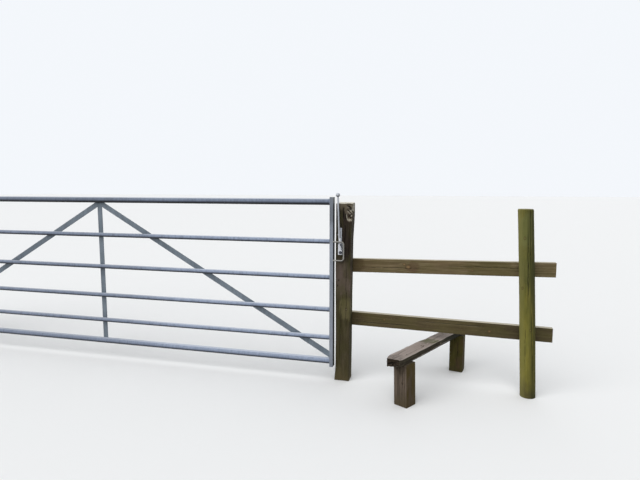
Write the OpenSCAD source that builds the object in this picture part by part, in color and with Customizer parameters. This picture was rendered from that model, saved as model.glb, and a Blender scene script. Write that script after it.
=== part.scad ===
// Galvanised field gate with a throw-over latch, its two posts, and the step stile beside it.
// Millimetres. +X runs along the gate to the stile, +Y away from the side the gate opens to, +Z up.
// The origin is the centre of the latch post's foot, on the ground.

/* [Gate leaf] */
// Distance between the middles of the two gate stiles
leaf_w = 3627; // [2400:10:4200]
// Height of the top rail's middle
top_rail_z = 1221; // [1180:1:1300]
// Height of the second rail's middle
second_rail_z = 957; // [925:1:1000]
// Height of the third rail's middle
third_rail_z = 715; // [650:1:780]
// Height of the fourth rail's middle
fourth_rail_z = 494; // [430:1:560]
// Height of the fifth rail's middle
fifth_rail_z = 299; // [275:1:350]
// Height of the bottom rail's middle
bottom_rail_z = 137; // [110:1:150]
// Outside diameter of the top and bottom rails
heavy_tube_d = 42.4; // [34:0.1:48]
// Outside diameter of the four rails between them
light_tube_d = 32; // [22:0.1:34]
// Wall of every rail tube
tube_wall = 2.6; // [1.6:0.1:4]
// Width of a gate stile along the gate
stile_w = 24; // [20:1:40]
// Depth of a gate stile through the gate
stile_d = 50; // [46:1:60]
// Wall of a gate stile
stile_wall = 2.5; // [1.6:0.1:4]
// How far a gate stile stands above the top rail's middle
stile_above = 31; // [26:1:60]
// How far a gate stile reaches below the bottom rail's middle
stile_below = 37; // [26:1:60]
// Width of the flat upright and braces
flat_w = 38; // [25:1:50]
// Thickness of the flat upright and braces
flat_t = 5; // [4:0.5:8]
// Height at which a brace's middle line meets the stile
brace_foot_z = 168; // [150:1:200]
// Height at which the braces' middle lines meet at the upright
brace_head_z = 1200; // [1100:1:1210]
// Diameter of the drain hole in a gate stile's foot
drain_d = 10; // [6:1:12]

/* [Latch post] */
// Side of the square latch post
post_side = 98; // [90:1:125]
// Height of the latch post
post_h = 1216; // [1100:1:1400]
// Lean of the latch post to the right, in degrees
post_lean = 0.4; // [0:0.1:1]
// Planed-off corner of every square timber
arris = 4; // [1:0.5:8]
// Gap between the gate and the latch post at the ground
latch_gap = 10.5; // [8:0.5:30]
// How far the gate's middle plane stands out from the latch post's front face
gate_out = 2; // [1:0.5:20]

/* [Hanging post] */
// Side of the hanging post
hanging_side = 175; // [150:1:200]
// Height of the hanging post
hanging_h = 1350; // [1300:1:1600]

/* [Hinges] */
// Diameter of the hinge pins
pin_d = 19; // [16:0.5:24]
// Clearance all round a hinge pin in its eye
pin_gap = 0.8; // [0.5:0.1:0.9]
// Height of the top hinge eye's middle
top_hinge_z = 1090; // [1010:1:1130]
// Height of the bottom hinge eye's middle
bottom_hinge_z = 232; // [220:1:240]
// Distance from the hinge stile's face to the hinge pin's middle
eye_reach = 45; // [42:1:70]
// Distance from the hinge pin's middle to the hanging post's face
hook_reach = 62; // [55:1:90]
// Wall of a hinge eye round its pin
eye_wall = 9; // [6:0.5:12]
// Height of a hinge eye
eye_h = 24; // [22:1:40]
// Diameter of the hinge bolts
bolt_d = 20; // [16:1:22]
// Thickness of a hinge nut
nut_t = 14; // [10:1:18]
// Side of the square plate washers on the hanging post
washer_side = 50; // [40:1:70]
// Thickness of the plate washers
washer_t = 5; // [3:0.5:8]
// How far a hinge pin stands past its eye
pin_past = 16; // [8:1:25]

/* [Latch] */
// Diameter of the bar that the hoop on the gate is bent from
hoop_bar_d = 10; // [8:0.5:12]
// Height of the hoop's top bar
hoop_top_z = 957; // [950:1:990]
// Height of the hoop's bottom bar
hoop_foot_z = 832; // [800:1:845]
// Distance from the gate stile's face to the middle of the hoop's outer bar
hoop_reach = 70; // [68:1:90]
// Radius of the hoop's corners, to the middle of the bar
hoop_corner_r = 17; // [10:1:20]
// Diameter of the latch lever's pivot
pivot_d = 8; // [6:0.5:10]
// Clearance all round the pivot in the lever
pivot_gap = 0.4; // [0.2:0.1:0.8]
// Height of the pivot
pivot_z = 889; // [880:1:892]
// Distance of the pivot to the left of the middle of the post's foot
pivot_left = 8.5; // [8.5:0.5:11]
// Outside diameter of the lever's hub
hub_d = 18; // [15:1:18]
// How far the lever is thrown over to lock, in degrees
throw = 20; // [16:1:24]
// Thickness of the fixed latch plate
plate_t = 3; // [2:0.5:3]
// Thickness of the lever's flat arm
arm_t = 4; // [3:0.5:4]
// Width of the lever's flat arm
arm_w = 14; // [12:1:16]
// Thickness of the hook at the front of the lever
hook_t = 6; // [4:0.5:8]
// Diameter of the lever's rod
rod_d = 12; // [8:1:12]
// Lean of the rod to the left, in degrees
rod_lean = 2.1; // [0:0.1:3]
// Height of the foot of the rod
rod_foot_z = 985; // [980:1:1010]
// Height of the middle of the knob on the rod
knob_z = 1266; // [1100:1:1350]
// Diameter of the knob
knob_d = 27; // [20:1:35]
// Height of the fixed plate's shoulders
shoulder_z = 955; // [950:1:965]
// Height of the top of the fixed plate's tail
tail_top_z = 1050; // [1000:1:1100]
// Width of the fixed plate's tail
tail_w = 12; // [10:1:16]

/* [Stile] */
// Height of a stile rail
rail_h = 93; // [70:1:100]
// Thickness of a stile rail
rail_t = 38; // [30:1:50]
// Height of the upper rail's top edge above the middle of the latch post's foot
upper_rail_top = 832; // [760:1:900]
// Rise of the upper rail to the right, in degrees
upper_rail_rise = 0.9; // [-1:0.1:1]
// Height of the lower rail's top edge above the middle of the latch post's foot
lower_rail_top = 463; // [440:1:500]
// Fall of the lower rail to the right, in degrees
lower_rail_fall = 1.1; // [-0.5:0.1:1.2]
// Distance from the latch post to the middle of the round post's foot
round_post_x = 1192; // [1150:1:1400]
// Diameter of the round post
round_post_d = 94; // [75:1:110]
// Height of the round post
round_post_h = 1183; // [1000:1:1300]
// Lean of the round post to the left, in degrees
round_post_lean = 2.9; // [0:0.1:3.5]
// Depth of the flat seats that the rails have in the round post
seat_depth = 6; // [3:1:12]
// Room above and below a rail in its seat
seat_room = 1; // [0.5:0.5:3]
// How far the rails run on past the round post's foot
rail_past = 137; // [60:1:300]
// How far the rails' left ends stop short of the latch post's left side
rail_inset = 22; // [5:1:30]

/* [Step] */
// Side of the square step legs
leg_side = 95; // [80:1:100]
// Height of the top of the step
step_top = 310; // [250:1:320]
// Thickness of the step plank
plank_t = 44; // [35:1:60]
// Width of the step plank
plank_w = 100; // [80:1:200]
// Length of the step plank
plank_l = 943; // [910:1:1100]
// Turn of the step away from square to the rails, in degrees
step_turn = 25; // [10:1:35]
// Place of the plank's near end along the rails
step_x = 384; // [360:1:440]
// Place of the plank's near end in front of the latch post's middle
step_y = 400; // [350:1:430]
// Slant of the plank's near end, in degrees
end_slant = 9; // [0:1:36]
// Distance from the plank's near end to the middle of the near leg
near_leg_at = 107; // [92:1:140]
// Distance from the middle of the far leg to the plank's far end
far_leg_back = 87; // [80:1:140]
// Distance of the legs' middles to the right of the plank's
leg_aside = 16; // [0:1:20]
// Extra turn of the near leg, in degrees
near_leg_turn = 5; // [0:1:10]
// Turn back of the far leg, in degrees
far_leg_turn = 14; // [0:1:20]

/* [Hidden] */

$fn = 48;
zinc = [0.62, 0.66, 0.70];
dull_zinc = [0.52, 0.55, 0.58];
timber = [0.40, 0.35, 0.28];
rail_timber = [0.42, 0.37, 0.24];
round_timber = [0.48, 0.46, 0.27];
plank_timber = [0.56, 0.53, 0.50];

// Fits
weld_gap = 0.2;
slide_gap = 0.5;
eps = 0.01;
big = 4000;

// Gate leaf, from the latch post outwards
half_side = post_side / 2;
gate_y = -half_side - gate_out;
latch_face_x = -half_side - latch_gap;
latch_stile_x = latch_face_x - stile_w / 2;
hinge_stile_x = latch_stile_x - leaf_w;
upright_x = (latch_stile_x + hinge_stile_x) / 2;
rail_left_x = hinge_stile_x + stile_w / 2;
rail_l = leaf_w - stile_w;
stile_foot_z = bottom_rail_z - stile_below;
stile_h = top_rail_z + stile_above - stile_foot_z;
flat_y = gate_y + light_tube_d / 2;
brace_run = (leaf_w - stile_w) / 2;
brace_angle = atan2(brace_head_z - brace_foot_z, brace_run);

// Hinges
hinge_x = hinge_stile_x - stile_w / 2 - eye_reach;
eye_bore_d = pin_d + 2 * pin_gap;
eye_od = eye_bore_d + 2 * eye_wall;
nut_across = bolt_d * 1.5;
boss_d = pin_d + 9;
boss_h = bolt_d + 4;
hanging_face_x = hinge_x - hook_reach;
hanging_x = hanging_face_x - hanging_side / 2;
bolt_hole_d = bolt_d + 2;
bolt_end = 12;

// Latch, from the post's front face forwards
lever_clear = 5;
pivot_x = -pivot_left;
collar_t = lever_clear - slide_gap;
collar_d = 14;
post_face_y = -half_side;
plate_face_y = post_face_y - plate_t;
arm_back_y = plate_face_y - lever_clear;
arm_front_y = arm_back_y - arm_t;
hoop_y = gate_y - stile_d / 2 + hoop_bar_d / 2;
hoop_x = latch_face_x + hoop_reach;
hook_back_y = hoop_y - hoop_bar_d / 2 - lever_clear;
hook_front_y = hook_back_y - hook_t;
head_t = 6;
washer_t_small = 2;
arm_slope = 0.116;
arm_lean = atan(arm_slope);
rod_foot_x = pivot_x - (rod_foot_z - pivot_z) * arm_slope;
rod_sink = 2;
rod_y = arm_front_y - rod_d / 2 + rod_sink;
rod_lap = 25;
rod_l = (knob_z - rod_foot_z) / cos(rod_lean);
rod_end = rod_l - knob_d / 2 + rod_sink;
flange_t = 3.5;
stop_gap = 0.5;
plate_foot_z = pivot_z - 20;
flange_x = pivot_x - (shoulder_z - pivot_z) * arm_slope - arm_w / 2 / cos(arm_lean) - stop_gap;
heel_drop = 18;
heel_x = (pivot_x - flange_x - stop_gap - heel_drop * sin(throw)) / cos(throw);
hook_right = hoop_x - hoop_bar_d / 2 - lever_clear - pivot_x;
hook_left = 14;
hook_top = hoop_top_z - hoop_bar_d / 2 - lever_clear - pivot_z;
hook_foot = 14;
hook_nose = 30;
plate_right_x = pivot_x + 11;
tail_x = pivot_x - 3;
shoulder_drop = 11;

// Stile
rail_front_y = half_side;
round_post_y = rail_front_y + seat_depth - round_post_d / 2;
rail_left = -half_side + rail_inset;
rail_right = round_post_x + rail_past;
round_chamfer = 5;

// Square timber with its corners planed off, standing on the origin
module timber_post(side, height) {
    a = side / 2;
    b = a - arris;
    linear_extrude(height)
        polygon([[-b, -a], [b, -a], [a, -b], [a, b], [b, a], [-b, a], [-a, b], [-a, -b]]);
}

// Tube along X from the origin
module tube(d, wall, length) {
    rotate([0, 90, 0]) difference() {
        cylinder(d = d, h = length);
        translate([0, 0, -1]) cylinder(d = d - 2 * wall, h = length + 2);
    }
}

module gate_rail(z, d) {
    color(zinc) translate([rail_left_x, gate_y, z]) tube(d, tube_wall, rail_l);
}

module top_rail() { gate_rail(top_rail_z, heavy_tube_d); }
module second_rail() { gate_rail(second_rail_z, light_tube_d); }
module third_rail() { gate_rail(third_rail_z, light_tube_d); }
module fourth_rail() { gate_rail(fourth_rail_z, light_tube_d); }
module fifth_rail() { gate_rail(fifth_rail_z, light_tube_d); }
module bottom_rail() { gate_rail(bottom_rail_z, heavy_tube_d); }

// Hollow stile, closed at both ends but for its drain hole
module gate_stile(x) {
    inner_w = stile_w - 2 * stile_wall;
    inner_d = stile_d - 2 * stile_wall;
    translate([x, gate_y, stile_foot_z]) difference() {
        translate([-stile_w / 2, -stile_d / 2, 0]) cube([stile_w, stile_d, stile_h]);
        translate([-inner_w / 2, -inner_d / 2, stile_wall]) cube([inner_w, inner_d, stile_h - 2 * stile_wall]);
        translate([0, 0, -1]) cylinder(d = drain_d, h = stile_wall + 2);
    }
}

module latch_stile() { color(zinc) gate_stile(latch_stile_x); }

module hinge_stile() {
    color(zinc) difference() {
        gate_stile(hinge_stile_x);
        for (z = [top_hinge_z, bottom_hinge_z])
            translate([hinge_stile_x - stile_w, gate_y, z]) rotate([0, 90, 0])
                cylinder(d = bolt_d + 2 * weld_gap, h = 2 * stile_w);
    }
}

// What the flat bars are shaped round: the outsides of the heavy rails
module heavy_rail_room() {
    for (z = [top_rail_z, bottom_rail_z])
        translate([rail_left_x - 1, gate_y, z]) rotate([0, 90, 0])
            cylinder(d = heavy_tube_d + 2 * weld_gap, h = rail_l + 2);
}

// Upright behind the rails, its ends shaped to the heavy rails
module centre_upright() {
    color(dull_zinc) difference() {
        translate([upright_x - flat_w / 2, flat_y, bottom_rail_z]) cube([flat_w, flat_t, top_rail_z - bottom_rail_z]);
        heavy_rail_room();
    }
}

// Brace behind the rails. side is 1 for the one that falls to the latch stile, and -1 for the other
module brace(side) {
    reach = leaf_w;
    difference() {
        translate([upright_x, flat_y, brace_head_z]) rotate([0, side * brace_angle, 0])
            translate([side > 0 ? 0 : -reach, 0, -flat_w / 2]) cube([reach, flat_t, flat_w]);
        heavy_rail_room();
        translate([upright_x - flat_w / 2, flat_y - 1, 0]) cube([flat_w, flat_t + 2, big]);
        translate([upright_x + side * leaf_w / 2 - (side > 0 ? stile_w / 2 : big - stile_w / 2), flat_y - 1, -big / 2])
            cube([big, flat_t + 2, big]);
        translate([upright_x - leaf_w, flat_y - 1, top_rail_z]) cube([2 * leaf_w, flat_t + 2, heavy_tube_d]);
        translate([upright_x - leaf_w, flat_y - 1, bottom_rail_z - big]) cube([2 * leaf_w, flat_t + 2, big]);
    }
}

module left_brace() { color(dull_zinc) brace(-1); }
module right_brace() { color(dull_zinc) brace(1); }

// Hexagonal nut along X from the origin, drilled for its bolt
module nut() {
    rotate([0, 90, 0]) cylinder(d = nut_across / cos(30), h = nut_t, $fn = 6);
}

// Eye bolt through the hinge stile, with a nut on each side of it
module hinge_eye(z) {
    face = hinge_stile_x - stile_w / 2;
    translate([hinge_x, gate_y, z]) difference() {
        union() {
            translate([0, 0, -eye_h / 2]) cylinder(d = eye_od, h = eye_h);
            rotate([0, 90, 0]) cylinder(d = bolt_d, h = eye_reach + stile_w + nut_t + bolt_end);
            translate([face - hinge_x - nut_t, 0, 0]) nut();
            translate([face - hinge_x + stile_w, 0, 0]) nut();
        }
        translate([0, 0, -eye_h]) cylinder(d = eye_bore_d, h = 2 * eye_h);
    }
}

module top_hinge_eye() { color(dull_zinc) hinge_eye(top_hinge_z); }
module bottom_hinge_eye() { color(dull_zinc) hinge_eye(bottom_hinge_z); }

// Hook bolted through the hanging post. Its boss lies below the eye, or above it where turned is true
module hinge_hook(z, turned) {
    bolt_l = hook_reach + hanging_side + washer_t + nut_t + bolt_end;
    translate([hinge_x, gate_y, z]) mirror([0, 0, turned ? 1 : 0])
        translate([0, 0, -eye_h / 2 - slide_gap - boss_h]) {
            cylinder(d = boss_d, h = boss_h);
            cylinder(d = pin_d, h = boss_h + slide_gap + eye_h + pin_past);
            translate([-bolt_l, 0, boss_h / 2]) rotate([0, 90, 0]) cylinder(d = bolt_d, h = bolt_l);
            for (x = [-hook_reach, -hook_reach - hanging_side - washer_t])
                translate([x, -washer_side / 2, boss_h / 2 - washer_side / 2])
                    cube([washer_t, washer_side, washer_side]);
            translate([-hook_reach + washer_t, 0, boss_h / 2]) nut();
            translate([-hook_reach - hanging_side - washer_t - nut_t, 0, boss_h / 2]) nut();
        }
}

function hook_bolt_z(z, turned) = z + (turned ? 1 : -1) * (eye_h / 2 + slide_gap + boss_h / 2);

module top_hinge_hook() { color(dull_zinc) hinge_hook(top_hinge_z, true); }
module bottom_hinge_hook() { color(dull_zinc) hinge_hook(bottom_hinge_z, false); }

module hanging_post() {
    color(timber) difference() {
        translate([hanging_x, gate_y, 0]) timber_post(hanging_side, hanging_h);
        for (z = [hook_bolt_z(top_hinge_z, true), hook_bolt_z(bottom_hinge_z, false)])
            translate([hanging_x - hanging_side, gate_y, z]) rotate([0, 90, 0])
                cylinder(d = bolt_hole_d, h = 2 * hanging_side);
    }
}

// Hoop of round bar on the latch stile, open towards the stile
module latch_hoop() {
    straight = hoop_reach - hoop_corner_r;
    color(zinc) translate([0, hoop_y, 0]) {
        for (z = [hoop_top_z, hoop_foot_z])
            translate([latch_face_x, 0, z]) rotate([0, 90, 0]) cylinder(d = hoop_bar_d, h = straight);
        translate([hoop_x, 0, hoop_foot_z + hoop_corner_r])
            cylinder(d = hoop_bar_d, h = hoop_top_z - hoop_foot_z - 2 * hoop_corner_r);
        for (top = [0, 1])
            translate([hoop_x - hoop_corner_r, 0, top ? hoop_top_z - hoop_corner_r : hoop_foot_z + hoop_corner_r])
                rotate([90, top ? 0 : 90, 0]) rotate_extrude(angle = 90)
                    translate([hoop_corner_r, 0]) circle(d = hoop_bar_d);
    }
}

// A flat shape drawn in X and Z, from y_back forward by t
module flat_piece(y_back, t) {
    translate([0, y_back, 0]) rotate([90, 0, 0]) linear_extrude(t) children();
}

// Fixed plate on the post: a narrow tail, sloping shoulders, and a turned-out edge that stops the lever
module latch_plate() {
    left = flange_x - flange_t;
    tail_left = tail_x - tail_w / 2;
    tail_right = tail_x + tail_w / 2;
    color(zinc) {
        flat_piece(post_face_y, plate_t)
            polygon([[left, plate_foot_z], [plate_right_x, plate_foot_z], [plate_right_x, shoulder_z - shoulder_drop],
                [tail_right, shoulder_z], [tail_right, tail_top_z], [tail_left, tail_top_z],
                [tail_left, shoulder_z + shoulder_drop / 2], [left, shoulder_z]]);
        translate([left, arm_front_y, plate_foot_z])
            cube([flange_t, post_face_y - arm_front_y, shoulder_z - plate_foot_z]);
    }
}

// Pivot on the plate, with a collar behind the lever and a head in front of it
module latch_pivot() {
    head_y = hook_front_y - slide_gap;
    color(dull_zinc) translate([pivot_x, 0, pivot_z]) rotate([90, 0, 0]) {
        translate([0, 0, -plate_face_y]) cylinder(d = collar_d, h = collar_t);
        translate([0, 0, -plate_face_y]) cylinder(d = pivot_d, h = plate_face_y - head_y + washer_t_small);
        translate([0, 0, -head_y]) cylinder(d = hub_d - 2, h = washer_t_small);
        translate([0, 0, -head_y + washer_t_small]) cylinder(d = hub_d - 5, h = head_t, $fn = 6);
    }
}

module pivot_bore() {
    translate([pivot_x, 0, pivot_z]) rotate([90, 0, 0])
        cylinder(d = pivot_d + 2 * pivot_gap, h = big);
}

// Places its children at the foot of the rod, up along it
module along_rod() {
    translate([rod_foot_x, rod_y, rod_foot_z]) rotate([0, -rod_lean, 0]) children();
}

// Flat arm behind the hoop: from its heel, round the pivot, up to the foot of the rod, which it is hollowed for
module lever_arm() {
    color(zinc) difference() {
        flat_piece(arm_back_y, arm_t) translate([pivot_x, pivot_z]) {
            circle(d = hub_d);
            translate([-heel_x, -heel_drop]) square([heel_x + hub_d / 3, heel_drop]);
            intersection() {
                rotate(arm_lean) translate([-arm_w / 2, 0]) square([arm_w, big]);
                translate([-big / 2, 0]) square([big, rod_foot_z - pivot_z + rod_lap]);
            }
        }
        pivot_bore();
        along_rod() cylinder(d = rod_d, h = rod_l);
    }
}

// Sleeve between the arm and the hook, through the hoop
module lever_hub() {
    color(dull_zinc) difference() {
        translate([pivot_x, arm_front_y, pivot_z]) rotate([90, 0, 0])
            cylinder(d = hub_d, h = arm_front_y - hook_back_y);
        pivot_bore();
    }
}

// Hook in front of the hoop: its nose moves over the hoop's outer bar as the lever is thrown
module latch_hook() {
    bevel = 6;
    color(zinc) difference() {
        flat_piece(hook_back_y, hook_t) translate([pivot_x, pivot_z])
            polygon([[-hook_left, -hook_foot], [hook_right, -hook_foot], [hook_right, hook_foot],
                [hook_right - bevel, hook_foot + bevel], [hook_right - bevel, hook_top - hook_nose],
                [hook_right, hook_top - hook_nose + bevel], [hook_right, hook_top - bevel],
                [hook_right - bevel, hook_top], [-hook_left + bevel, hook_top], [-hook_left, hook_top - bevel]]);
        pivot_bore();
    }
}

// Long rod that a rider can reach
module lever_rod() {
    color(zinc) along_rod() cylinder(d = rod_d, h = rod_end);
}

module lever_knob() {
    color(zinc) along_rod() difference() {
        translate([0, 0, rod_l]) sphere(d = knob_d);
        cylinder(d = rod_d + eps, h = rod_end);
    }
}

// Leaning timber, cut off level at the ground
module leaning(angle) {
    difference() {
        rotate([0, angle, 0]) children();
        translate([-big / 2, -big / 2, -big]) cube([big, big, big]);
    }
}

module latch_post() {
    foot = post_side * tan(post_lean) + 1;
    color(timber) leaning(post_lean)
        translate([0, 0, -foot]) timber_post(post_side, post_h / cos(post_lean) + foot);
}

// A stile rail's outline, as long as the rail, grown by room above and below
module stile_rail(top, rise, room) {
    translate([0, rail_front_y, top]) rotate([0, -rise, 0])
        translate([rail_left, 0, -rail_h - room]) cube([rail_right - rail_left, rail_t, rail_h + 2 * room]);
}

module upper_stile_rail() { color(rail_timber) stile_rail(upper_rail_top, upper_rail_rise, 0); }
module lower_stile_rail() { color(rail_timber) stile_rail(lower_rail_top, -lower_rail_fall, 0); }

// Round post with a bevelled top and a flat seat behind for each rail
module round_post() {
    foot = round_post_d * tan(round_post_lean) + 1;
    length = round_post_h / cos(round_post_lean);
    r = round_post_d / 2;
    color(round_timber) difference() {
        translate([round_post_x, round_post_y, 0]) leaning(-round_post_lean) rotate_extrude()
            polygon([[0, -foot], [r, -foot], [r, length - round_chamfer], [r - round_chamfer, length], [0, length]]);
        stile_rail(upper_rail_top, upper_rail_rise, seat_room);
        stile_rail(lower_rail_top, -lower_rail_fall, seat_room);
    }
}

// Places its children at a distance along the step's middle line, and aside from it
module along_step(at, aside) {
    translate([step_x, -step_y, 0]) rotate(-step_turn) translate([aside, at, 0]) children();
}

// Step plank, its near end cut on the slant
module step_plank() {
    slant = plank_w * tan(end_slant) / 2;
    color(plank_timber) along_step(0, 0) translate([0, 0, step_top - plank_t]) linear_extrude(plank_t)
        polygon([[-plank_w / 2, -slant], [plank_w / 2, slant], [plank_w / 2, plank_l], [-plank_w / 2, plank_l]]);
}

module step_leg(at, turn) {
    color(timber) along_step(at, leg_aside) rotate(turn) timber_post(leg_side, step_top - plank_t);
}

module near_step_leg() { step_leg(near_leg_at, -near_leg_turn); }
module far_step_leg() { step_leg(plank_l - far_leg_back, far_leg_turn); }

top_rail();
second_rail();
third_rail();
fourth_rail();
fifth_rail();
bottom_rail();
latch_stile();
hinge_stile();
centre_upright();
left_brace();
right_brace();
top_hinge_eye();
bottom_hinge_eye();
latch_hoop();
lever_arm();
lever_hub();
latch_hook();
lever_rod();
lever_knob();
latch_post();
hanging_post();
top_hinge_hook();
bottom_hinge_hook();
latch_plate();
latch_pivot();
round_post();
upper_stile_rail();
lower_stile_rail();
step_plank();
near_step_leg();
far_step_leg();
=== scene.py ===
"""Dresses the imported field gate, its latch, its posts and the step stile beside it.

Metres unless a docstring says millimetres, in the CAD frame: +X runs along the closed gate to the
stile, +Y away from the camera and +Z up. The origin is the middle of the latch post's foot.
Colours of three parts are 0 to 255, as on a screen.
"""

import itertools
import math

import bmesh
import bpy
import numpy as np
from mathutils import Euler, Matrix, Vector


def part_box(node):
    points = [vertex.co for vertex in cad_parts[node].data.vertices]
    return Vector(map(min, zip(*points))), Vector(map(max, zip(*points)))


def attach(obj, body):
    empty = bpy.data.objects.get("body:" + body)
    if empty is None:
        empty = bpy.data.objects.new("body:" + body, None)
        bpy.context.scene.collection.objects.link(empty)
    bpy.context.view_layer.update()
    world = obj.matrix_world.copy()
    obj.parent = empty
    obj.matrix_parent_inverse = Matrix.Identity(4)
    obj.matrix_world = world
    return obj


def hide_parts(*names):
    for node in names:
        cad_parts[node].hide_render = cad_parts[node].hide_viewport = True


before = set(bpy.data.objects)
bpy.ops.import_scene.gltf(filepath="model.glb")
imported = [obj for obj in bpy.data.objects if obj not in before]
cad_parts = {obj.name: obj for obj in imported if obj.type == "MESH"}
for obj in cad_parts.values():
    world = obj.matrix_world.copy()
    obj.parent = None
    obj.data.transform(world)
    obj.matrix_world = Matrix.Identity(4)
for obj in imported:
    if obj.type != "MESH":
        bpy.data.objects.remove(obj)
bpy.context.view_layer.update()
scene = bpy.context.scene
MM = 0.001
RIGHT, BACK, UP = (1, 0, 0), (0, 1, 0), (0, 0, 1)


# Noise, mesh and placing helpers

# Large numbers that scatter neighbouring cells over the whole range
SCATTER_X, SCATTER_Y, SCATTER_Z = 73856093, 19349663, 83492791
SCATTER_SEED, SCATTER_AGAIN = 2654435, 1274126177


def unit(values):
    """The values, held between 0 and 1."""
    return np.clip(values, 0, 1)


def smooth(t):
    """0 to 1 with a soft start and end."""
    return t * t * (3 - 2 * t)


def lattice_value(cell, seed):
    """A fixed value from -1 to 1 for each whole-number cell."""
    h = cell[..., 0] * SCATTER_X ^ cell[..., 1] * SCATTER_Y ^ cell[..., 2] * SCATTER_Z ^ seed * SCATTER_SEED
    h = (h ^ (h >> 13)) * SCATTER_AGAIN & 0xFFFFFFFF
    return ((h ^ (h >> 16)) & 0xFFFF) / 32767.5 - 1


def noise(points, size, seed):
    """Smooth noise from -1 to 1. size is the size of its lumps along X, Y and Z."""
    points = np.asarray(points, float) / np.asarray(size, float)
    cell = np.floor(points).astype(np.int64)
    t = smooth(points - cell)
    total = 0
    for corner in itertools.product((0, 1), repeat=3):
        weight = np.prod(np.where(corner, t, 1 - t), axis=-1)
        total = total + weight * lattice_value(cell + np.array(corner), seed)
    return total


def linear(colour):
    """A screen colour as the linear RGBA that Blender takes. Anything else stays as it is."""
    if not isinstance(colour, tuple) or len(colour) != 3:
        return colour
    parts = [part / 255 for part in colour]
    return tuple(v / 12.92 if v <= 0.04045 else ((v + 0.055) / 1.055) ** 2.4 for v in parts) + (1,)


def linked(name, data):
    obj = bpy.data.objects.new(name, data)
    scene.collection.objects.link(obj)
    return obj


def add_object(name, vertices, faces, look):
    mesh = bpy.data.meshes.new(name)
    mesh.from_pydata(np.asarray(vertices, float).reshape(-1, 3).tolist(), [], faces)
    mesh.polygons.foreach_set("use_smooth", [True] * len(mesh.polygons))
    mesh.materials.append(look)
    return linked(name, mesh)


def belongs(obj, body, slot, *nodes):
    """Makes obj move with a body and stand for the CAD nodes it replaces. slot is not used."""
    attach(obj, body)
    if nodes:
        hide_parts(*nodes)
    return obj


def ring_quads(a, b, around):
    """Quads between two rings of points, given the number of each ring's first point."""
    return [(a + i, a + (i + 1) % around, b + (i + 1) % around, b + i) for i in range(around)]


def skin_faces(rings, around):
    return [quad for r in range(rings - 1) for quad in ring_quads(r * around, (r + 1) * around, around)]


def closed_skin(rings, around, joined=False):
    """Faces over rings and both ends, or, if joined, from the last ring on to the first."""
    last = (rings - 1) * around
    ends = [tuple(range(around))[::-1], tuple(range(last, last + around))]
    return skin_faces(rings, around) + (ring_quads(last, 0, around) if joined else ends)


def circle_points(sides, u, v):
    turn = np.arange(sides) * math.tau / sides
    return np.cos(turn)[:, None] * np.array(u) + np.sin(turn)[:, None] * np.array(v)


def mend_normals(obj):
    bm = bmesh.new()
    bm.from_mesh(obj.data)
    bmesh.ops.recalc_face_normals(bm, faces=bm.faces)
    bm.to_mesh(obj.data)
    bm.free()
    return obj


def set_attribute(obj, name, values):
    """Gives each point of a mesh its number or vector."""
    values = np.asarray(values, np.float32)
    kind, key = ("FLOAT_VECTOR", "vector") if values.ndim > 1 else ("FLOAT", "value")
    obj.data.attributes.new(name, kind, "POINT").data.foreach_set(key, values.ravel())


# Materials


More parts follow.
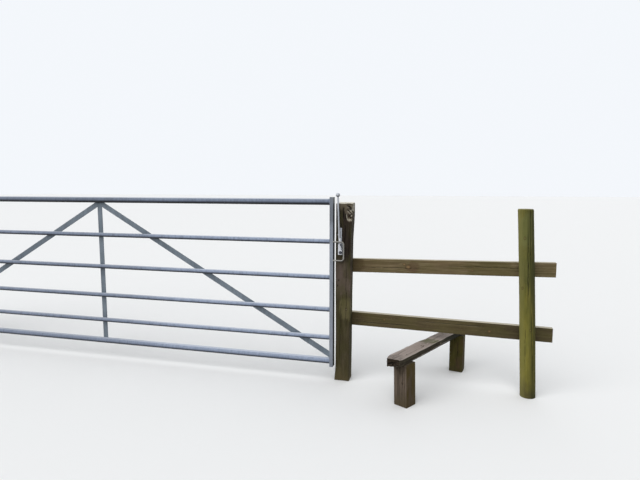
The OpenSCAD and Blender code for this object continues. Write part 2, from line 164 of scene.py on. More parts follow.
class Look:
    """The nodes of a material or a world under construction, and the colour made so far."""

    def __init__(self, owner, colour=None):
        owner.use_nodes = True
        self.owner, self.tree, self.colour = owner, owner.node_tree, colour

    def node(self, kind, inputs, **settings):
        """Makes a node and returns its outputs."""
        node = self.tree.nodes.new("ShaderNode" + kind)
        for key, value in settings.items():
            setattr(node, key, value)
        for key, value in inputs.items():
            self.feed(node.inputs[key], value)
        return node.outputs

    def feed(self, socket, value):
        if isinstance(value, bpy.types.NodeSocket):
            self.tree.links.new(value, socket)
        else:
            socket.default_value = value

    def place(self):
        """Where the surface is, for pieces whose mesh lies in the CAD frame."""
        return self.node("TexCoord", {})["Object"]

    def attribute(self, name, output="Fac"):
        return self.node("Attribute", {}, attribute_name=name)[output]

    def noise(self, place, scale, detail, start=0.35, end=0.65, low=0.0, high=1.0):
        """Noise stretched by scale along each axis, with its start..end range spread to low..high."""
        scaled = self.node("VectorMath", {0: place, 1: scale}, operation="MULTIPLY")[0]
        made = self.node("TexNoise", {"Vector": scaled, "Scale": 1.0, "Detail": detail, "Roughness": 0.55})
        return self.spread(made["Fac"], start, end, low, high)

    def spread(self, value, start, end, low=0.0, high=1.0):
        """The range start..end of a value, spread to low..high."""
        return self.node("MapRange", {"Value": value, "From Min": start, "From Max": end,
                                      "To Min": low, "To Max": high})["Result"]

    def math(self, operation, a, b=0.0, clamp=False):
        return self.node("Math", {0: a, 1: b}, operation=operation, use_clamp=clamp)[0]

    def times(self, a, b, clamp=False):
        return self.math("MULTIPLY", a, b, clamp)

    def plus(self, a, b):
        return self.math("ADD", a, b)

    def weighed(self, *parts):
        """The sum of values, each times its weight."""
        total, *rest = [self.times(value, weight) for value, weight in parts]
        for part in rest:
            total = self.plus(total, part)
        return total

    def mix(self, share, a, b):
        return self.node("Mix", {0: share, 6: linear(a), 7: linear(b)}, data_type="RGBA")[2]

    def tint(self, colour, share, *more):
        """Mixes a colour into the one made so far, by the product of the shares."""
        for factor in more:
            share = self.times(share, factor)
        self.colour = self.mix(share, self.colour, colour)

    def part(self, vector, axis):
        return self.node("SeparateXYZ", {0: vector})[axis]

    def facing(self, axis, start, end):
        """0 to 1 as the surface turns along a world axis, 0 for X, 1 for Y and 2 for Z."""
        return self.spread(self.part(self.node("NewGeometry", {})["Normal"], axis), start, end)

    def near(self, centre, radius):
        """1 at a point, falling to 0 at radius from it."""
        far = self.node("VectorMath", {0: self.place(), 1: centre}, operation="DISTANCE")
        return self.spread(far["Value"], radius, 0.0)

    def finish(self, roughness, height=None, depth=0.0, metallic=0.0, specular=0.4):
        """Feeds the shader. height is the bump, whose 0 to 1 stands for depth."""
        sockets = self.tree.nodes["Principled BSDF"].inputs
        for name, value in (("Base Color", self.colour), ("Roughness", roughness), ("Metallic", metallic),
                            ("Specular IOR Level", specular)):
            self.feed(sockets[name], value)
        if height:
            bump = self.node("Bump", {"Height": height, "Distance": depth, "Strength": 0.9})
            self.feed(sockets["Normal"], bump["Normal"])
        return self.owner


def zinc_look(name, pale, mid, grime_and_shade, under=1.0, side=0.0, painted_highlight=None, marks=(), under_from=-0.02):
    """Old hot-dip galvanising: faint spangle, dull blooms, run-down streaks and dark flecks, with painted
    shade underneath and on the faces that are turned to +X, all in the third colour. under and side
    are that painted shade's shares, and under_from is where it begins underneath. bright is the colour
    of a painted highlight along the top. Each of marks is a dark patch's centre, radius and share; on
    the latch's hook these patches are painted shade."""
    look = Look(bpy.data.materials.new(name), mid)
    place = look.place()
    bloom = look.noise(place, (9, 9, 9), 5)
    reach = look.noise(place, (1.1, 1.1, 2.4), 3, 0.3, 0.7)
    spangle = look.node("TexVoronoi", {"Vector": place, "Scale": 140.0})["Color"]
    spangle = look.node("SeparateColor", {0: spangle})[0]
    fleck = look.noise(place, (420, 420, 420), 2, 0.62, 0.74)
    look.tint(pale, look.weighed((bloom, 0.6), (reach, 0.4)))
    look.tint(mid, spangle, 0.25)
    look.tint(grime_and_shade, look.noise(place, (70, 70, 7), 5, 0.45, 0.75), 0.35)
    look.tint(grime_and_shade, fleck, 0.4)
    # Painted shade on the undersides
    look.tint(grime_and_shade, look.facing(2, under_from, -0.55), under)
    # Painted shade on the faces turned to +X
    if side:
        look.tint(grime_and_shade, look.facing(0, 0.4, 0.9), side)
    # A painted highlight along the top
    if painted_highlight:
        look.tint(painted_highlight, look.facing(2, 0.66, 0.88), 0.85)
    # Dark patches; on the latch's hook they are painted shade
    for centre, radius, share in marks:
        look.tint(grime_and_shade, look.times(look.near(centre, radius), 4.0, True), share)
    rough = look.plus(look.weighed((bloom, 0.16), (spangle, 0.08)), 0.44)
    height = look.weighed((spangle, 0.15), (bloom, 1.0), (fleck, -0.25))
    return look.finish(rough, height, 0.25 * MM, metallic=0.18)


RING_WIDTH = 5.5 * MM
BARE_WOOD, CRACK_DARK, KNOT_BROWN = (162, 155, 140), (22, 18, 13), (70, 46, 26)


def timber_look(name, dark, mid, pale, top, algae, algae_share, contrast=0.3, foot=None, stain=None,
                green_side=None, zones=(), end=None, heartwood=(150, 140, 118), patches=(), top_patches=(),
                flat_patches=(), rim=None, painted_shading=()):
    """Weathered softwood. It reads the piece's own grain, crack, knot, end and bare attributes.
    contrast is the share of the mottling, and stain a colour and its share. green_side is an axis,
    the start and end of its facing, and how much more algae grows there. Each of zones is a height
    range, the width of its edges, a colour and a share. patches and top_patches, each a centre,
    radius, colour and share, lie under and over the pale top, and flat_patches over it on upward
    faces only. rim is how far from the middle a piece is worn pale, and its colour. Each of shades
    is painted light and shade on the faces turned along an axis: the axis, the start and end of its
    facing, a colour and a share."""
    look = Look(bpy.data.materials.new(name), dark)
    grain = look.attribute("grain", "Vector")
    knot = look.attribute("knot")
    x, y = look.part(grain, 0), look.part(grain, 1)
    radius = look.math("SQRT", look.plus(look.times(x, x), look.times(y, y)))
    radius = look.plus(radius, look.noise(grain, (7, 7, 1.6), 2, 0.2, 0.8, -0.006, 0.006))
    rings = look.spread(look.math("SINE", look.times(radius, math.tau / RING_WIDTH)), -1, 1)
    streak = look.noise(grain, (150, 150, 4.5), 7, 0.33, 0.67)
    fibre = look.noise(grain, (800, 800, 20), 3, 0.32, 0.68)
    spot = look.noise(grain, (30, 30, 12), 5, 0.3, 0.7)
    tone = look.weighed((streak, 0.52), (rings, 0.2), (fibre, 0.28))
    level = look.plus(look.part(look.place(), 2), look.noise(grain, (22, 22, 9), 5, low=-0.05, high=0.05))

    def patch(marks, ragged, *where):
        for centre, radius, colour, share in marks:
            near = look.near(centre, radius)
            inside = look.spread(look.plus(look.times(near, 2.2), ragged), 0.75, 1.35)
            look.tint(colour, inside, look.spread(near, 0.0, 0.25), *where, share)

    look.tint(mid, look.spread(tone, 0.16, 0.5))
    look.tint(pale, look.spread(tone, 0.5, 0.85, 0.0, 0.85))
    if stain:
        look.tint(stain[0], look.noise(grain, (16, 16, 2.5), 5, 0.42, 0.62), stain[1])
    look.tint(dark, look.noise(grain, (14, 14, 5), 6, 0.38, 0.62), 0.4)
    look.tint(dark, look.noise(grain, (48, 48, 9), 4, 0.4, 0.6), contrast)
    for low, high, edge, colour, share in zones:
        inside = look.spread(level, low - edge, low + edge), look.spread(level, high + edge, high - edge)
        look.tint(colour, *inside, share)
    patch(patches, spot)
    green = algae_share
    if green_side:
        *facing, more = green_side
        green = look.plus(look.times(look.facing(*facing), more), algae_share)
    look.tint(algae, look.times(look.noise(grain, (24, 24, 8), 7, 0.4, 0.62), green, True))
    look.tint(pale, look.noise(grain, (260, 260, 120), 2, 0.63, 0.7), 0.4)
    look.tint(top, look.facing(2, 0.4, 0.8), look.spread(tone, 0.0, 0.6, 0.7, 1.0))
    if rim:
        edge, colour = rim
        worn = look.spread(look.math("ABSOLUTE", x), edge - 5 * MM, edge)
        look.tint(colour, worn, look.facing(2, 0.1, 0.5), 0.7)
    patch(top_patches, spot)
    if flat_patches:
        fleck = look.noise(grain, (64, 64, 22), 9, 0.3, 0.7, -0.9, 1.1)
        upward = look.times(look.facing(2, 0.3, 0.7), look.spread(tone, 0.3, 0.6, 1.0, 0.45))
        patch(flat_patches, fleck, upward)
    if end:
        look.tint(end, look.attribute("end"), look.spread(rings, 0.0, 1.0, 0.75, 0.95))
    if foot:
        look.tint(foot, look.spread(level, 0.12, 0.0, 0.0, 0.75))
    # Painted light and shade on the faces turned along an axis
    for axis, start, full, colour, share in painted_shading:
        look.tint(colour, look.facing(axis, start, full), share)
    brown = look.mix(0.35, dark, KNOT_BROWN)
    look.tint(brown, look.spread(knot, 0.02, 0.35), look.spread(knot, 0.75, 0.4), 0.7)
    look.tint(heartwood, look.spread(knot, 0.4, 0.8), 0.75)
    look.tint(BARE_WOOD, look.attribute("bare"), look.spread(tone, 0.1, 0.6, 0.5, 1.0))
    # Painted shade inside the cracks, over the dark dirt that lies in them
    look.tint(CRACK_DARK, look.spread(look.attribute("crack"), 0.15, 0.75, 0.0, 0.92))
    height = look.weighed((streak, 0.7), (fibre, 0.4), (rings, 0.25))
    return look.finish(look.spread(tone, 0.0, 1.0, 0.92, 0.74), height, 1.0 * MM, specular=0.12)


# Timber

ARRIS_STEPS, CAP_RINGS = 4, 9
END_STEPS = np.array([0, 0.08, 0.3, 0.6, 1])
SAW_PITCH, SCAR_DEPTH, SCAR_SEED = 1.9 * MM, 1.5 * MM, 88
OPEN, OPEN_TAPER = math.inf, 0.1  # where a crack ends that runs out through the top, and how long it widens
RELIEF_SHIFT, GRAIN_SHIFT = 3.7, 1.37  # how far each seed moves the noise of the relief and of the look


def rounded_section(width, depth, arris, spacing):
    """Points and outward normals round a rectangle with rounded corners, starting at front left
    and running along the front to the right. arris and spacing are in millimetres."""
    arris, spacing = arris * MM, spacing * MM
    a, b = width / 2 - arris, depth / 2 - arris
    points, normals, before = [], [], np.array((-a, -b))
    for corner, normal, angle in (((a, -b), (0, -1), -90), ((a, b), (1, 0), 0), ((-a, b), (0, 1), 90),
                                  ((-a, -b), (-1, 0), 180)):
        start, end = before + np.array(normal) * arris, corner + np.array(normal) * arris
        steps = max(2, round(math.dist(start, end) / spacing))
        points += [start + (end - start) * (i / steps) for i in range(steps)]
        normals += [normal] * steps
        for i in range(ARRIS_STEPS):
            turn = math.radians(angle + 90 * i / ARRIS_STEPS)
            normals.append((math.cos(turn), math.sin(turn)))
            points.append(corner + arris * np.array(normals[-1]))
        before = np.array(corner)
    return np.array(points), np.array(normals)


def round_section(diameter, spacing):
    """Points and outward normals round a circle, starting at the left and running by the front."""
    count = round(math.pi * diameter / spacing)
    turn = math.pi + np.arange(count) * math.tau / count
    normals = np.stack([np.cos(turn), np.sin(turn)], -1)
    return normals * diameter / 2, normals


def stations(length, spacing, bevel=2.0):
    """Places of rings along a piece, with closer ones at each end for its rounded edges. spacing and
    bevel are in millimetres."""
    bevel = bevel * MM
    inner = np.linspace(bevel, length - bevel, max(3, round(length / (spacing * MM))))
    return np.concatenate([END_STEPS[:-1] * bevel, inner, length - END_STEPS[-2::-1] * bevel])


def softened_ends(local, bevel, last_bevel=None):
    """Rounds the edges of a piece's ends. The bevels are in millimetres."""
    z = local[:, :1, 2]
    for away, size in ((z - z.min(), bevel * MM), (z.max() - z, (last_bevel or bevel) * MM)):
        pull = size * (1 - np.sqrt(1 - unit(1 - away / size) ** 2))
        centre = local[..., :2].mean(1, keepdims=True)
        half = np.abs(local[..., :2] - centre).max(1)
        local[..., :2] = centre + (local[..., :2] - centre) * (1 - pull / half)[:, None]
    return local


def wrapped(off, whole):
    """The shorter way round."""
    return (off + whole / 2) % whole - whole / 2


def crack_cut(s, z, perimeter, at, start, end, width, depth, slant, seed):
    """How deep a drying crack cuts at each point, and how much of the point it darkens. at is its
    place round the section at its start, and slant how far it moves per metre. width and depth are
    in millimetres."""
    path = at + slant * (z - start)
    path = path + noise(np.stack([z * 0, z * 0, z], -1), (1, 1, 0.05), seed) * 2.2 * MM
    off = np.abs(wrapped(s - path, perimeter))
    if end == OPEN:
        taper = unit((z - start) / OPEN_TAPER)
    else:
        taper = unit(np.sin(np.pi * unit((z - start) / (end - start))) * 1.6) * ((z >= start) & (z <= end))
    ragged = 1 + 0.35 * noise(np.stack([s, z * 0, z], -1), (0.004, 1, 0.012), seed + 7)
    share = unit(1 - (off / (width * MM * ragged)) ** 2) * taper
    return depth * MM * share, share


def scar_mark(s, z, perimeter, at, height, length, width, slant=0.0):
    """Where bare pale wood shows, because a sliver has split off along a slanting line. width is in
    millimetres."""
    along = z - height
    off = wrapped(s - at - slant * along, perimeter)
    ragged = 1 + 0.5 * noise(np.stack([s, z * 0, z], -1), (0.004, 1, 0.009), SCAR_SEED)
    return unit(1.6 - 1.6 * np.hypot(off / (width * MM), along / (length / 2)) * ragged)


def knot_lump(s, z, perimeter, at, height, radius, rise=0.8):
    """How far a knot lifts each point, how dark it is there, and how far it bends the grain. radius
    and rise are in millimetres."""
    radius = radius * MM
    off = wrapped(s - at, perimeter)
    reach = np.hypot(off, (z - height) * 0.8) / radius
    bend = np.sign(off) * np.exp(-(reach / 1.8) ** 2) * radius * 0.6
    return rise * MM * np.exp(-reach ** 2), unit(1 - reach), bend


def timber(node, slot, look, section, levels, place, shape, cracks, knots, seed, pith, wave=0.9, fibre=0.35,
           sawn=0.0, rough_end=0.5, cap_cracks=(), foot_cracks=(), scars=()):
    """A node's timber, swept along its grain. levels are the places of its rings along the grain,
    place turns points (across, through, along) into the CAD frame, and shape changes the rings
    before relief. wave, fibre, sawn and rough_end are the relief's heights in millimetres. The
    cracks, knots and scars are as above. Those of the end faces are each an angle in degrees, a
    width as a share of the face and a depth in millimetres."""
    wave, fibre, sawn, rough_end = (height * MM for height in (wave, fibre, sawn, rough_end))
    points, normals = section
    core = np.array([*pith, 0])
    around, rings = len(points), len(levels)
    edge = np.linalg.norm(np.roll(points, -1, 0) - points, axis=1)
    perimeter = edge.sum()
    local = np.zeros((rings, around, 3))
    local[..., :2] = points
    local[..., 2] = levels[:, None]
    local = shape(local)
    s, z = np.broadcast_to(np.concatenate([[0], np.cumsum(edge)[:-1]]), (rings, around)), local[..., 2]
    spots = local + seed * RELIEF_SHIFT
    push = noise(spots, (0.05, 0.05, 0.3), seed) * wave
    push += noise(spots, (0.006, 0.006, 0.09), seed + 1) * fibre
    push += noise(spots, (0.0025, 0.0025, 0.03), seed + 2) * fibre * 0.5
    push += np.sin(z / SAW_PITCH + noise(spots, (0.1, 0.1, 0.05), seed) * 2) * sawn
    push -= wave
    crack_mark, knot_mark, bare_mark = np.zeros((3, rings, around))
    for crack in cracks:
        depth, mark = crack_cut(s, z, perimeter, *crack)
        push -= depth
        crack_mark = np.maximum(crack_mark, mark)
    for scar in scars:
        mark = scar_mark(s, z, perimeter, *scar)
        push -= mark * SCAR_DEPTH
        bare_mark = np.maximum(bare_mark, mark)
    grain = local - core
    tangent = np.stack([-normals[:, 1], normals[:, 0]], -1)
    for knot in knots:
        lump, mark, bend = knot_lump(s, z, perimeter, *knot)
        push += lump
        knot_mark = np.maximum(knot_mark, mark)
        grain[..., :2] -= tangent[None] * bend[..., None]
    surface = local.copy()
    surface[..., :2] += normals[None] * push[..., None]

    rows = [(surface.reshape(-1, 3), grain.reshape(-1, 3), crack_mark.ravel(), knot_mark.ravel())]
    faces = skin_faces(rings, around)
    total = rings * around
    for end, index in enumerate((0, rings - 1)):
        out = 1 if end else -1
        rim = surface[index]
        centre = rim.mean(0)
        previous, cap = index * around, []
        for k in range(1, CAP_RINGS + 1):
            share = 1 - k / (CAP_RINGS + 0.35)
            ring = centre + (rim - centre) * share
            turn = np.arctan2(ring[:, 1] - centre[1], ring[:, 0] - centre[0])
            sink = noise(ring + seed, (0.012, 0.012, 1), seed + 5)
            sink = (sink + 0.6 * noise(ring, (0.005, 0.005, 1), seed + 6)) * rough_end
            mark = np.zeros(around)
            for angle, width, depth in cap_cracks if end else foot_cracks:
                off = np.abs(wrapped(turn - math.radians(angle), math.tau)) * share
                line = unit(1 - (off / width) ** 2)
                mark = np.maximum(mark, line)
                sink = sink - line * (depth * MM)
            ring[:, 2] += (sink - rough_end) * out
            rows.append((ring, ring - core, mark, np.zeros(around)))
            cap += ring_quads(previous, total, around)
            previous, total = total, total + around
        rows.append((centre[None] - [0, 0, rough_end * out], centre[None] - core, [0.0], [0.0]))
        cap += [(previous + i, previous + (i + 1) % around, total) for i in range(around)]
        faces += cap if end else [face[::-1] for face in cap]
        total += 1
    vertices, grains, crack_marks, knot_marks = (np.concatenate(column) for column in zip(*rows))
    obj = add_object(node + ".timber", place(vertices), faces, look)
    set_attribute(obj, "grain", grains + np.array([0, 0, seed * GRAIN_SHIFT]))
    set_attribute(obj, "crack", crack_marks)
    set_attribute(obj, "knot", knot_marks)
    set_attribute(obj, "end", np.arange(total) >= rings * around)
    set_attribute(obj, "bare", np.concatenate([bare_mark.ravel(), np.zeros(total - rings * around)]))
    belongs(mend_normals(obj), "posts", slot, node)


# Steel

ARC_STEPS = 10


def rounded_path(points, radius):
    """The points with each inner corner turned into an arc."""
    points = [Vector(p) for p in points]
    path = [points[0]]
    for before, corner, after in zip(points, points[1:], points[2:]):
        a, b = (before - corner).normalized(), (after - corner).normalized()
        half = a.angle(b) / 2
        reach = radius / math.tan(half)
        centre = corner + (a + b).normalized() * radius / math.sin(half)
        start, end = corner + a * reach - centre, corner + b * reach - centre
        path += [centre + start.slerp(end, i / ARC_STEPS).normalized() * radius for i in range(ARC_STEPS + 1)]
    return path + [points[-1]]


def bar(name, path, radius, look, body, *nodes, sides=32, spacing=None, wobble=0.0, seed=1, radii=None):
    """A round bar or closed tube along a path, with slightly rounded ends."""
    path = [Vector(p) for p in path]
    if spacing:
        dense = []
        for a, b in zip(path, path[1:]):
            steps = max(1, round((b - a).length / spacing))
            dense += [a.lerp(b, i / steps) for i in range(steps)]
        path = dense + [path[-1]]
    count = len(path)
    sizes = radii or [radius] * count
    soft = min(0.8 * MM, radius * 0.2)
    side = Vector(UP if abs((path[1] - path[0]).normalized().z) < 0.9 else BACK)
    u = (path[1] - path[0]).cross(side)
    rings = []
    for i, point in enumerate(path):
        ahead = (path[min(i + 1, count - 1)] - path[max(i - 1, 0)]).normalized()
        u = (u - ahead * ahead.dot(u)).normalized()
        rings.append(np.array(point) + sizes[i] * circle_points(sides, u, ahead.cross(u)))
    rings = np.array(rings)
    if wobble:
        centre = np.array([list(p) for p in path])[:, None]
        lump = noise(rings, (0.03, 0.03, 0.03), seed) * wobble
        rings = centre + (rings - centre) * (1 + lump / radius)[..., None]
    first, last = np.array(path[0]), np.array(path[-1])
    start = first + (rings[0] - first) * (1 - soft / sizes[0])
    end = last + (rings[-1] - last) * (1 - soft / sizes[-1])
    rings[0] += np.array((path[1] - path[0]).normalized()) * soft
    rings[-1] -= np.array((path[-1] - path[-2]).normalized()) * soft
    rings = np.concatenate([start[None], rings, end[None]])
    obj = mend_normals(add_object(name, rings, closed_skin(len(rings), sides), look))
    belongs(obj, body, "zinc", *nodes)


def flat_face_normals(mesh):
    """Normals weighed by the faces' areas, so that rounded edges leave the flat faces flat."""
    bm = bmesh.new()
    bm.from_mesh(mesh)
    limit = math.cos(math.radians(40))
    normals = []
    for face in bm.faces:
        for loop in face.loops:
            near = [f for f in loop.vert.link_faces if f.normal.dot(face.normal) > limit]
            normals.append(sum((f.normal * f.calc_area() for f in near), Vector()).normalized())
    bm.free()
    mesh.normals_split_custom_set(normals)


def softened(node, body, look, bevel, segments=2):
    """A copy of a CAD node with its edges rounded, which then stands for the node. bevel is in
    millimetres."""
    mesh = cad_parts[node].data.copy()
    obj = linked(node + ".soft", mesh)
    bm = bmesh.new()
    bm.from_mesh(mesh)
    bmesh.ops.remove_doubles(bm, verts=bm.verts, dist=1e-6)
    bmesh.ops.dissolve_limit(bm, angle_limit=math.radians(1), verts=bm.verts, edges=bm.edges)
    sharp = [e for e in bm.edges if len(e.link_faces) == 2 and e.calc_face_angle() > math.radians(35)]
    bmesh.ops.bevel(bm, geom=sharp, offset=bevel * MM, segments=segments, affect="EDGES", clamp_overlap=True)
    bmesh.ops.dissolve_degenerate(bm, dist=0.01 * MM, edges=bm.edges)
    bmesh.ops.triangulate(bm, faces=[f for f in bm.faces if len(f.verts) > 4])
    bm.to_mesh(mesh)
    bm.free()
    mesh.polygons.foreach_set("use_smooth", [True] * len(mesh.polygons))
    flat_face_normals(mesh)
    mesh.materials.clear()
    mesh.materials.append(look)
    belongs(obj, body, "zinc", node)


def weld(name, centre, radius, body, look, bead, seed=1):
    """A lumpy weld bead round a bar that runs along X. bead is its radius in millimetres."""
    steps = max(8, round(math.tau * radius / (1.3 * MM)))
    path, sizes = [], []
    for i in range(steps + 1):
        turn = math.radians(360 * i / steps)
        path.append(Vector(centre) + radius * Vector((0, -math.cos(turn), -math.sin(turn))))
        sizes.append(bead * MM * (1 + 0.16 * math.sin(i * 2.1 + seed) + 0.1 * math.sin(i * 0.7 + seed)))
    bar(name, path, bead * MM, look, body, sides=10, radii=sizes)


# Sizes that repeat part.scad's, and places read from the frame

LATCH_POST_SIDE, LATCH_POST_LEAN = 98 * MM, math.radians(0.4)
LEG_SIDE, STEP_TURN = 95 * MM, math.radians(25)
NEAR_LEG_TURN, FAR_LEG_TURN = math.radians(5), math.radians(14)
ROUND_POST_D, ROUND_POST_LEAN = 94 * MM, math.radians(2.9)
RAIL_H, RAIL_T = 93 * MM, 38 * MM
UPPER_LINE, LOWER_LINE = (832 * MM, math.radians(0.9)), (463 * MM, -math.radians(1.1))
PLANK_W, PLANK_L, END_SLANT = 100 * MM, 943 * MM, math.radians(9)
NEAR_LEG_AT, FAR_LEG_AT, LEG_ASIDE = 107 * MM, 856 * MM, 16 * MM
STEP_X, STEP_Y = 384 * MM, 400 * MM
HOOP_R, HOOP_CORNER = 5 * MM, 17 * MM
BRACE_HEAD_Z, BRACE_FOOT_Z = 1200 * MM, 168 * MM
ROD_LEAN = math.radians(2.1)
EYE_H, EYE_BORE, EYE_R, PIN_R = 24 * MM, 10.3 * MM, 19.3 * MM, 9.5 * MM
BOLT_R, NUT_ACROSS, NUT_T, WASHER_SIDE, WASHER_T = 10 * MM, 30 * MM, 14 * MM, 50 * MM, 5 * MM
BOSS_R, BOSS_H, SLIDE_GAP, HOOK_REACH = 14 * MM, 24 * MM, 0.5 * MM, 62 * MM

box = {name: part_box(name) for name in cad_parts}


def middle(name):
    low, high = box[name]
    return (low + high) / 2


# Looks

# Each zinc look paints shade on its undersides, the stile's and the latch's also on faces turned to +X, and
# both tube looks add a painted highlight along the top
zinc = zinc_look("galvanised_tube", (144, 155, 175), (115, 126, 146), (26, 28, 35), painted_highlight=(186, 193, 204),
                 marks=[((-2.7, -0.05, 0.8), 1.5, 0.28)])
# The top rail's painted shade is darker and begins above its middle
zinc_top = zinc_look("galvanised_top_tube", (118, 128, 146), (90, 100, 118), (10, 12, 15), under_from=0.1,
                     painted_highlight=(194, 200, 207), marks=[((-2.7, -0.05, 1.2), 1.3, 0.2)])
zinc_stile = zinc_look("galvanised_stile", (144, 151, 162), (116, 122, 131), (38, 40, 42), side=0.9,
                       marks=[((-0.0715, -0.076, 1.2), 0.14, 0.36)])
zinc_flat = zinc_look("galvanised_flat", (121, 131, 140), (90, 100, 109), (46, 50, 56), 0.6)
zinc_bright = zinc_look("galvanised_latch", (202, 205, 211), (162, 166, 174), (60, 60, 66), 0.7, side=0.5)
zinc_hoop = zinc_look("galvanised_hoop", (168, 166, 160), (128, 126, 120), (58, 56, 54), 0.8)
zinc_dark = zinc_look("galvanised_bolts", (118, 122, 128), (84, 88, 94), (56, 52, 48), 0.6)
# A darker zinc all over for the latch's pivot
zinc_dark_pivot = zinc_look("galvanised_pivot", (72, 75, 86), (50, 53, 62), (24, 26, 32), 0.6)
nail_look = zinc_look("nail_steel", (92, 84, 76), (70, 60, 52), (70, 44, 28), 0.5)


def hook_shade_marks():
    """Painted shade: a dark ring round the pivot's head, and a dark band up the middle of the hook and arm
    for the shade under the hook's curve.
    """
    low, high = box["latch_pivot"]
    x, z, front = (low.x + high.x) / 2, (low.z + high.z) / 2, box["latch_hook"][0].y
    places = ((1, 0, 12, 0.95), (11, 36, 9, 0.9), (7, 49, 10, 0.95), (0, 60, 8, 0.85), (-2, 73, 10, 0.95))
    return [((x + dx * MM, front, z + dz * MM), radius * MM, share) for dx, dz, radius, share in places]


zinc_hook = zinc_look("galvanised_hook", (234, 236, 240), (198, 201, 208), (26, 29, 38), 0.6,
                      marks=hook_shade_marks())

latch_post_look = timber_look(
    "latch_post_timber", (38, 33, 25), (78, 69, 56), (112, 102, 86), (216, 211, 196), (64, 62, 32),
    0.35, 0.55, foot=(82, 73, 50), stain=((92, 78, 74), 0.5), green_side=(0, 0.3, -0.9, 0.5),
    zones=[(0.83, 1.3, 0.05, (34, 27, 23), 0.8), (-0.2, 0.6, 0.08, (57, 52, 26), 0.62),
           (1.165, 1.3, 0.02, (118, 108, 92), 0.6)],
    patches=[((-0.02, -0.05, 0.71), 0.14, (90, 78, 70), 0.85), ((0.045, -0.05, 0.5), 0.1, (104, 97, 66), 0.6),
             ((0.038, -0.05, 0.74), 0.05, (62, 53, 42), 0.5), ((0.06, 0.0, 1.2), 0.05, (168, 163, 150), 0.8)],
    top_patches=[((0.058, -0.02, 1.174), 0.024, (232, 228, 210), 0.85)])
hanging_post_look = timber_look(
    "hanging_post_timber", (46, 41, 32), (76, 69, 55), (108, 98, 82), (168, 162, 146), (78, 78, 42),
    0.4, 0.4, foot=(82, 72, 50), stain=((86, 76, 70), 0.35), green_side=(1, -0.2, 0.9, 0.4),
    zones=[(-0.2, 0.45, 0.12, (66, 61, 38), 0.45)])
RAIL_LOOK = dict(
    dark=(82, 70, 49), mid=(117, 103, 77), pale=(146, 131, 103), top=(182, 175, 156), algae=(88, 84, 46),
    algae_share=0.3, contrast=0.2, stain=((110, 89, 62), 0.35), end=(92, 82, 62), heartwood=(136, 110, 76))
upper_rail_look = timber_look(
    "upper_rail_timber", **RAIL_LOOK,
    patches=[((0.46, 0.05, 0.79), 0.05, (84, 62, 48), 0.5), ((0.95, 0.05, 0.78), 0.2, (78, 72, 40), 0.6),
             ((0.08, 0.05, 0.79), 0.07, (74, 58, 38), 0.6)])
lower_rail_look = timber_look(
    "lower_rail_timber", **RAIL_LOOK, zones=[(0.2, 0.6, 0.02, (58, 51, 32), 0.64)],
    patches=[((1.1, 0.05, 0.4), 0.3, (58, 50, 34), 0.5)])
round_look = timber_look(
    "round_post_timber", (70, 67, 30), (114, 108, 53), (134, 127, 70), (142, 138, 98), (82, 85, 40), 0.4,
    foot=(70, 64, 42), green_side=(0, 0.0, 1.0, 0.3), end=(120, 114, 78), heartwood=(112, 104, 64),
    # The first zone is a painted shadow of the ivy on the post
    zones=[(0.68, 0.93, 0.08, (66, 68, 42), 0.52), (-0.2, 0.62, 0.1, (132, 124, 54), 0.5)],
    patches=[((1.14, -0.02, 1.05), 0.14, (104, 106, 64), 0.7)],
    # Painted shade on the post's right side and painted light on its left
    painted_shading=[(0, -0.15, 0.5, (48, 48, 27), 0.66), (0, -0.4, -1.0, (150, 145, 88), 0.5)])
plank_look = timber_look(
    "step_plank_timber", (36, 31, 24), (60, 53, 43), (84, 76, 64), (151, 139, 131), (96, 96, 74), 0.18,
    end=(44, 35, 26), rim=(44 * MM, (170, 160, 151)),
    # Painted shade on the sides towards the far end
    patches=[((0.7, 0.36, 0.28), 0.36, (26, 27, 20), 0.8)],
    flat_patches=[((x, y, 0.31), radius, colour, share) for x, y, radius, colour, share in (
        (0.69, 0.22, 0.3, (130, 121, 114), 0.8), (0.55, 0.0, 0.095, (84, 87, 60), 0.95),
        (0.585, 0.01, 0.085, (100, 101, 76), 0.9), (0.385, -0.39, 0.1, (104, 97, 92), 0.85))])
leg_look = timber_look(
    "near_leg_timber", (64, 55, 47), (98, 86, 75), (120, 107, 95), (64, 56, 44), (72, 62, 30), 0.1,
    foot=(74, 65, 46), green_side=(0, 0.2, 0.8, 1.3), heartwood=(88, 76, 60),
    # The zone is the plank's painted shadow on the leg's top, and the shading is painted shade on the side
    # turned to +X
    zones=[(0.238, 0.3, 0.02, (34, 28, 20), 0.5)], painted_shading=[(0, 0.4, 0.8, (76, 62, 36), 0.45)])
far_leg_look = timber_look(
    "far_leg_timber", (44, 39, 18), (70, 63, 32), (90, 82, 46), (40, 36, 26), (74, 70, 30), 0.5,
    foot=(62, 55, 36), green_side=(1, -0.2, -0.9, 0.3), heartwood=(70, 62, 40),
    patches=[((0.797, 0.325, z), 0.07, (74, 56, 42), 0.9) for z in (0.07, 0.19)])


# Posts


def leaning_place(x, y, lean):
    """Leans a post along X and keeps its foot level."""
    def place(points):
        out = points.copy()
        out[:, 0] += x + math.tan(lean) * points[:, 2]
        out[:, 1] += y
        return out

    return place


def latch_post_shape(local):
    """Spread at its foot on the left and at its top on both sides, with a top that falls to the front."""
    local = softened_ends(local, 2.5, 7)
    x, z = local[..., 0], local[..., 2]
    # Shares of the width: at its foot, at its head, along its left edge, and lost along its right edge
    foot = 0.16 * unit((0.11 - z) / 0.11) ** 1.3
    head = 0.16 * smooth(unit((z - 0.95) / 0.2))
    wide = 0.13 * smooth(unit((z - 0.36) / 0.5))
    narrow = 0.03 * unit((0.8 - z) / 0.2)
    fall = 4 * MM * unit((z - z.max() + 20 * MM) / (20 * MM))
    local[..., 2] -= fall * (0.5 - local[..., 1] / LATCH_POST_SIDE)
    local[..., 0] = np.where(x < 0, x * (1 + foot + wide), x * (1 - narrow + head))
    return local


